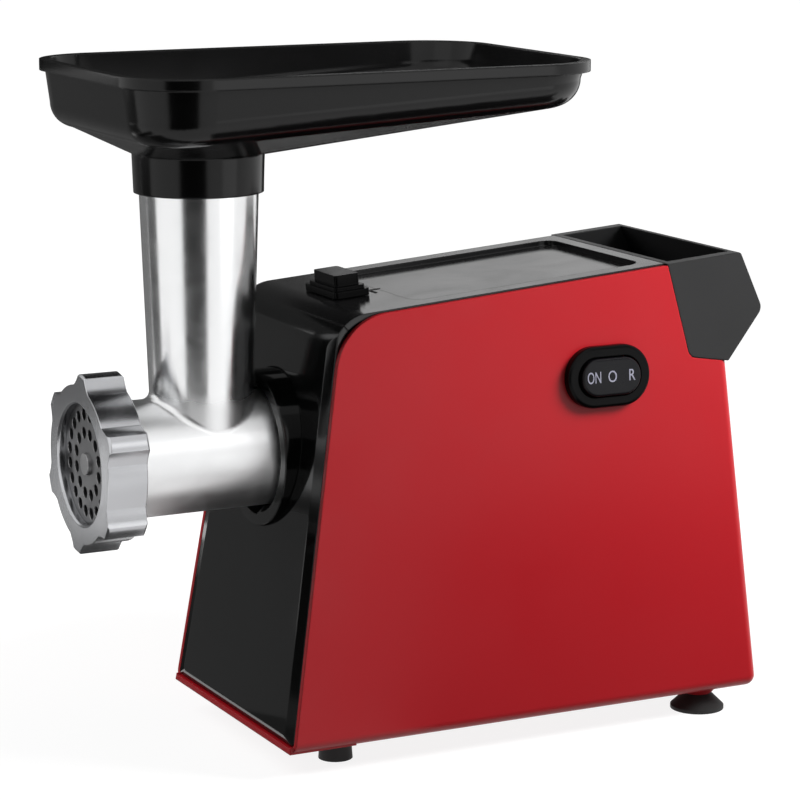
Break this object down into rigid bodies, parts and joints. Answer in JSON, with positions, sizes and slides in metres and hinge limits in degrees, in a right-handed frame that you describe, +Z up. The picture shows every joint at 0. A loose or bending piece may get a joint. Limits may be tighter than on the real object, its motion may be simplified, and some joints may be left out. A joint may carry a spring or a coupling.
{
  "type": "electric meat grinder",
  "caption": "Electric meat grinder with a red body, black front and tray, a cast grinding head with feed screw, knife and plate, a ring nut, and a geared motor inside.",
  "frame": {"origin": "on the worktop under the middle of the whole part", "axes": "+X to the rear, away from the grinding head; +Y to the side opposite the switch; +Z up"},
  "size_m": [0.3278, 0.1584, 0.3186],
  "materials": {
    "shell_red": "glossy red moulded plastic",
    "panel_black": "glossy black plastic",
    "cover_black": "satin black plastic",
    "tray_black": "black plastic, soft gloss",
    "foot_rubber": "black rubber",
    "switch_black": "fine matt black plastic",
    "cast_aluminium": "polished cast aluminium",
    "plate_steel": "ground tool steel",
    "bright_steel": "bright turned steel",
    "gear_nylon": "natural nylon",
    "gearbox_plastic": "glass-filled plastic",
    "bronze": "sintered bronze",
    "copper": "copper wire and bars",
    "lamination": "stacked steel sheet",
    "carbon": "carbon brush"
  },
  "bodies": {
    "housing": {"body_shell": "shell_red", "front_panel": "panel_black", "top_cover": "cover_black", "rear_grip": "cover_black", "head_socket": "panel_black", "foot_screws": "bright_steel", "front_left_foot": "foot_rubber", "front_right_foot": "foot_rubber", "rear_left_foot": "foot_rubber", "rear_right_foot": "foot_rubber", "switch_bezel": "switch_black", "switch_body": "gearbox_plastic", "cord_gland": "foot_rubber", "gearbox_case": "gearbox_plastic", "gearbox_cover": "gearbox_plastic", "gearbox_screws": "bright_steel", "socket_screws": "bright_steel", "chassis_screws": "bright_steel", "first_pin": "bright_steel", "second_pin": "bright_steel", "front_bush": "bronze", "rear_bush": "bronze", "motor_stator": "lamination", "field_coils": "copper", "motor_bracket": "gearbox_plastic", "front_bearing": "bronze", "rear_bearing": "bronze", "brush_holders": "bronze", "carbon_brushes": "carbon", "motor_bolts": "bright_steel", "motor_cradle": "foot_rubber"},
    "head": {"grinder_barrel": "cast_aluminium", "barrel_bush": "bronze", "plate_key": "bright_steel"},
    "plate": {"cutting_plate": "plate_steel"},
    "ring": {"ring_nut": "cast_aluminium"},
    "hopper": {"hopper_tray": "tray_black"},
    "drive": {"output_gear": "bright_steel", "output_shaft": "bright_steel", "auger": "cast_aluminium", "auger_washer": "gear_nylon", "cutting_knife": "plate_steel"},
    "second": {"second_gear": "gear_nylon", "second_pinion": "bright_steel"},
    "first": {"first_gear": "gear_nylon", "first_pinion": "bright_steel"},
    "rotor": {"armature_core": "lamination", "armature_winding": "copper", "commutator": "copper", "motor_shaft": "bright_steel", "cooling_fan": "gear_nylon", "motor_pinion": "bright_steel"},
    "lock": {"lock_knob": "switch_black", "lock_leg": "bright_steel"},
    "rocker": {"switch_rocker": "switch_black"}
  },
  "joints": [
    {"name": "second_gear_spin", "type": "hinge", "parent": "housing", "child": "second", "pos_m": [-0.01042, 0, 0.089], "axis": [1, 0, 0], "continuous": true},
    {"name": "auger_spin", "type": "hinge", "parent": "housing", "child": "drive", "pos_m": [-0.01042, 0, 0.14], "axis": [1, 0, 0], "continuous": true},
    {"name": "first_gear_spin", "type": "hinge", "parent": "housing", "child": "first", "pos_m": [-0.01042, 0.03, 0.0665], "axis": [1, 0, 0], "continuous": true},
    {"name": "rotor_spin", "type": "hinge", "parent": "housing", "child": "rotor", "pos_m": [-0.01042, 0, 0.0665], "axis": [1, 0, 0], "continuous": true},
    {"name": "head_twist", "type": "hinge", "parent": "housing", "child": "head", "pos_m": [-0.07042, 0, 0.14], "axis": [1, 0, 0], "range_deg": [0, 45]},
    {"name": "plate_slide", "type": "slide", "parent": "head", "child": "plate", "axis": [-1, 0, 0], "range_m": [0, 0.006]},
    {"name": "ring_unscrew", "type": "hinge", "parent": "plate", "child": "ring", "pos_m": [-0.15242, 0, 0.14], "axis": [-1, 0, 0], "range_deg": [0, 540]},
    {"name": "hopper_lift", "type": "slide", "parent": "head", "child": "hopper", "axis": [0, 0, 1], "range_m": [0, 0.06]},
    {"name": "lock_slide", "type": "slide", "parent": "housing", "child": "lock", "axis": [0.9971, 0, 0.0767], "range_m": [0, 0.006], "stiffness_N_per_m": 150, "springref_m": -0.004},
    {"name": "rocker_tilt", "type": "hinge", "parent": "housing", "child": "rocker", "pos_m": [0.07658, -0.05519, 0.17043], "axis": [0, 0.068, 0.9977], "range_deg": [-6, 6]}
  ],
  "couplings": [
    {"joint": "auger_spin", "follows": "second_gear_spin", "ratio": -0.25926},
    {"joint": "first_gear_spin", "follows": "second_gear_spin", "ratio": -4},
    {"joint": "rotor_spin", "follows": "second_gear_spin", "ratio": 20},
    {"joint": "plate_slide", "follows": "ring_unscrew", "m_per_rad": 0.00063662}
  ]
}
